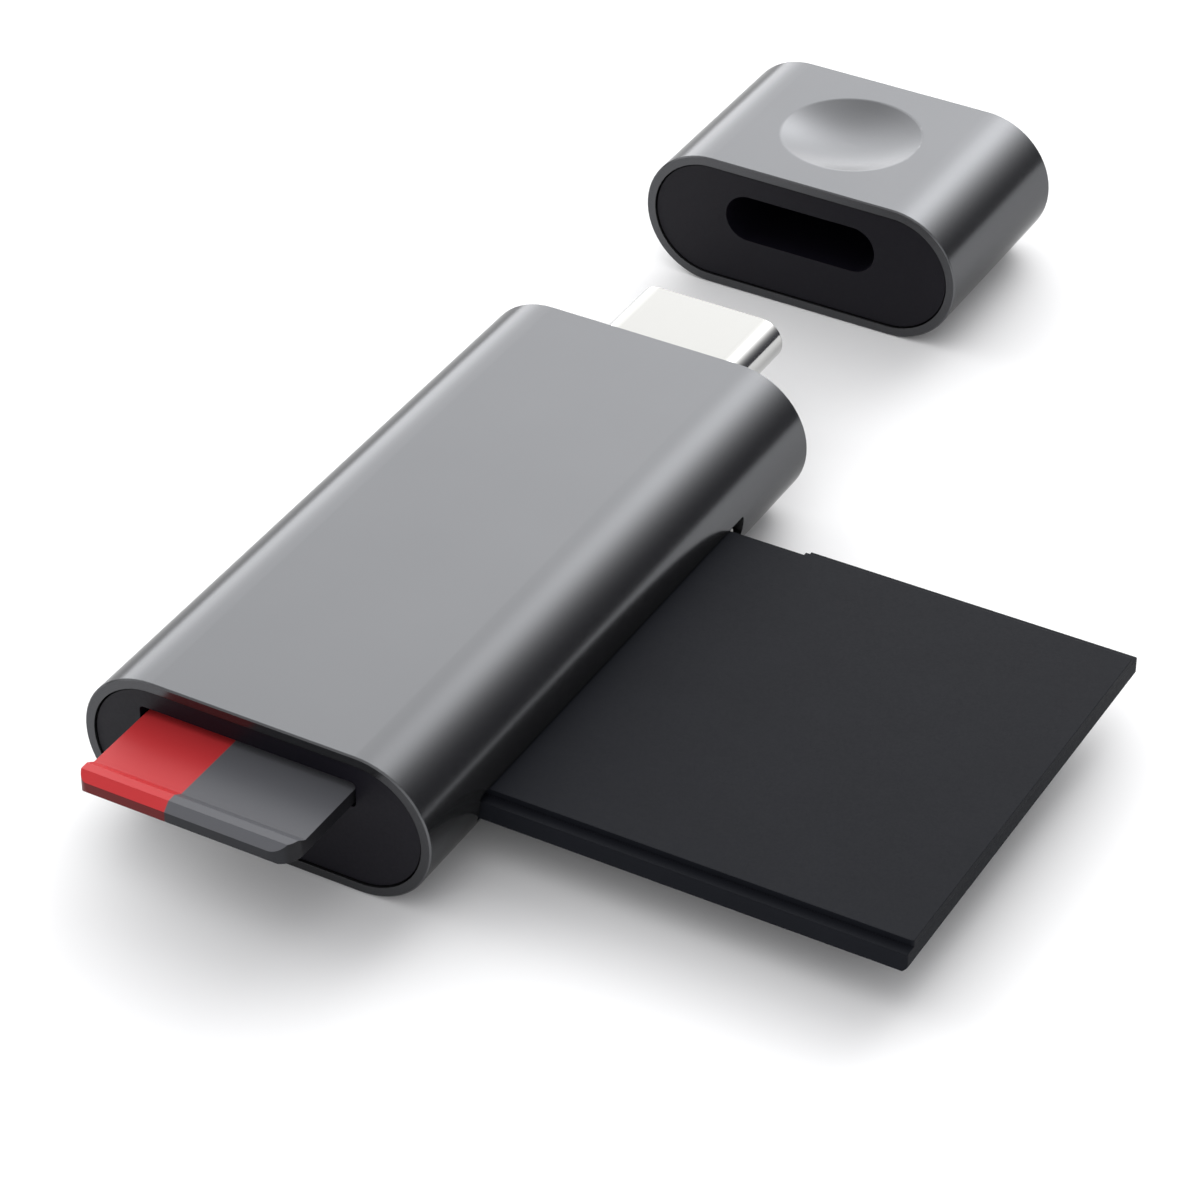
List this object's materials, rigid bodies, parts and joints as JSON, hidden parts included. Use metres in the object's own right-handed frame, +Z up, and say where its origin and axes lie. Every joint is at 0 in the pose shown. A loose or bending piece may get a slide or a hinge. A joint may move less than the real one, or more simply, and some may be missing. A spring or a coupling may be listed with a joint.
{
  "type": "usb memory card reader",
  "caption": "Pocket memory card reader: rounded aluminium stick with a plug, its cap pulled off, a full-size card in the side slot and a small card in the end slot.",
  "frame": {"origin": "middle of the body's flat underside, on the surface that it lies on", "axes": "+X across the body towards the side card slot, +Y along the body towards the plug, +Z up"},
  "size_m": [0.0391, 0.069, 0.0076],
  "materials": {
    "anodised_aluminium": "fine-blasted satin anodising, space grey",
    "black_plastic": "fine moulded grain",
    "carrier_plastic": "moulded",
    "board_laminate": "solder mask",
    "chip_resin": "moulded resin",
    "ceramic_body": "fired ceramic with tinned ends",
    "sheet_steel": "bright rolled sheet",
    "plated_shell": "bright nickel plating",
    "connector_plastic": "glass-filled moulding",
    "gilt_contact": "gilt copper alloy",
    "card_plastic": "fine moulded grain, near black",
    "slider_plastic": "moulded, off-white",
    "small_card_resin": "moulded resin with a red and grey label side"
  },
  "bodies": {
    "root": {"body_sleeve": "anodised_aluminium", "rear_end_plate": "black_plastic", "front_end_plate": "black_plastic", "inner_carrier": "carrier_plastic", "circuit_board": "board_laminate", "controller_chip": "chip_resin", "crystal_can": "sheet_steel", "voltage_regulator": "chip_resin", "ceramic_capacitors": "ceramic_body", "chip_resistors": "chip_resin", "plug_shell": "plated_shell", "plug_insulator": "connector_plastic", "plug_contacts": "gilt_contact", "plug_latch_plate": "sheet_steel", "big_socket_housing": "connector_plastic", "big_socket_cover": "sheet_steel", "big_socket_contacts": "gilt_contact", "small_socket_housing": "connector_plastic", "small_socket_cover": "sheet_steel", "small_socket_contacts": "gilt_contact", "cap_shell": "anodised_aluminium", "cap_insert": "black_plastic", "big_card_back_shell": "card_plastic", "big_card_front_shell": "card_plastic", "big_card_board": "board_laminate", "big_card_contacts": "gilt_contact", "big_card_lock_slider": "slider_plastic", "small_card_body": "small_card_resin", "small_card_contacts": "gilt_contact"}
  },
  "joints": []
}
